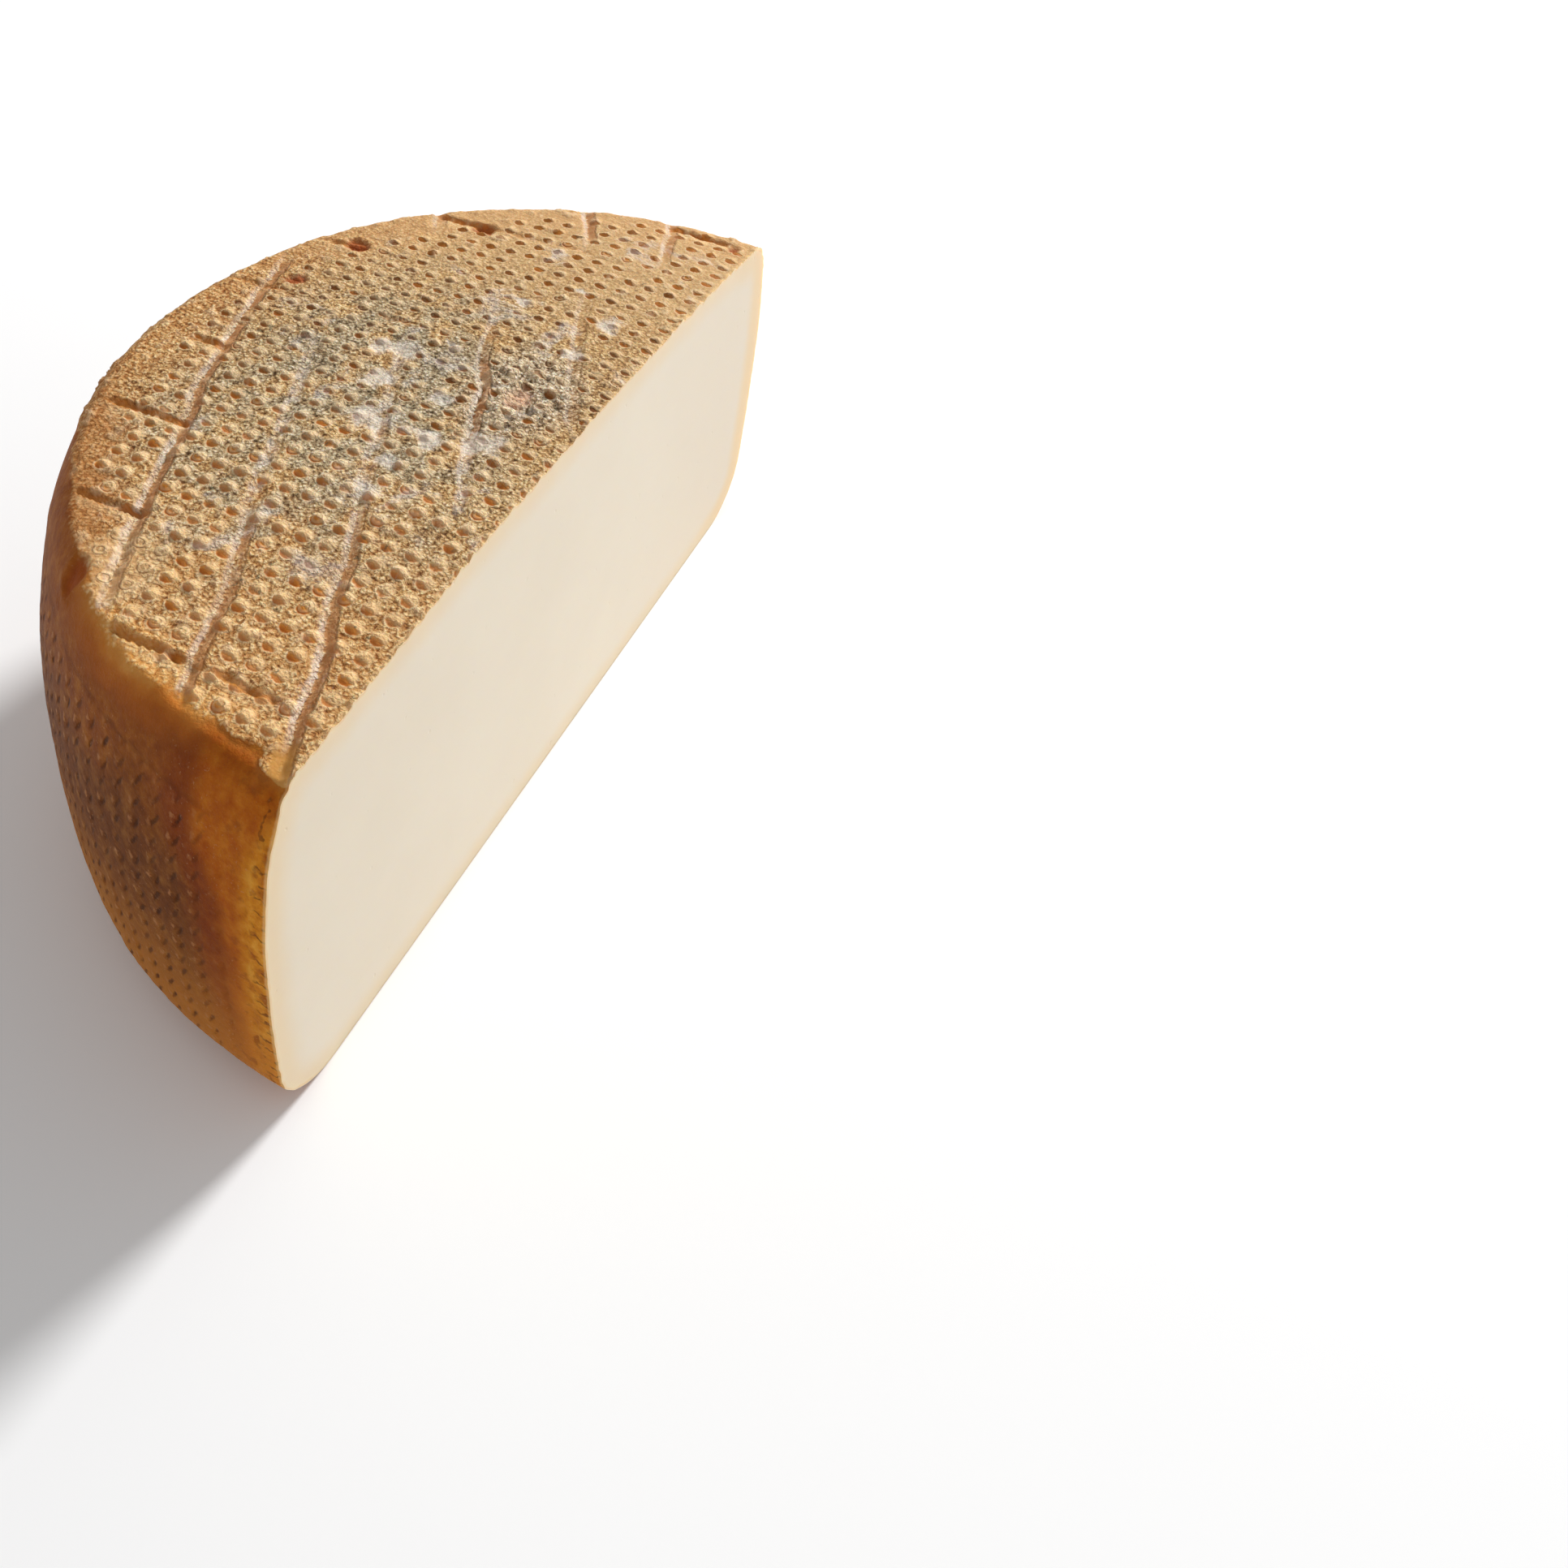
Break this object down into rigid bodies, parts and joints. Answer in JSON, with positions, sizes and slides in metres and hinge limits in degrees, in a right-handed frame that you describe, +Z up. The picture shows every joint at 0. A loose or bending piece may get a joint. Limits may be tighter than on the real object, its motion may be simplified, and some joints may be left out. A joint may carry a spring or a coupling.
{
  "type": "cheese half wheel",
  "caption": "Half of a round pressed cheese as cut: crusty top with rows of small domes and cloth creases, smooth brown side, flat ivory cut face.",
  "frame": {"origin": "middle of the bounding box's underside, on the plane the cheese rests on", "axes": "+X along the cut face, from the end that is nearer in the picture to the far one; the cut face looks towards -Y; +Z up"},
  "size_m": [0.2494, 0.1152, 0.1032],
  "materials": {
    "rind_and_paste": "dry crusty top, waxy brown side and smooth ivory cut face"
  },
  "bodies": {
    "root": {"cheese_half": "rind_and_paste"}
  },
  "joints": []
}
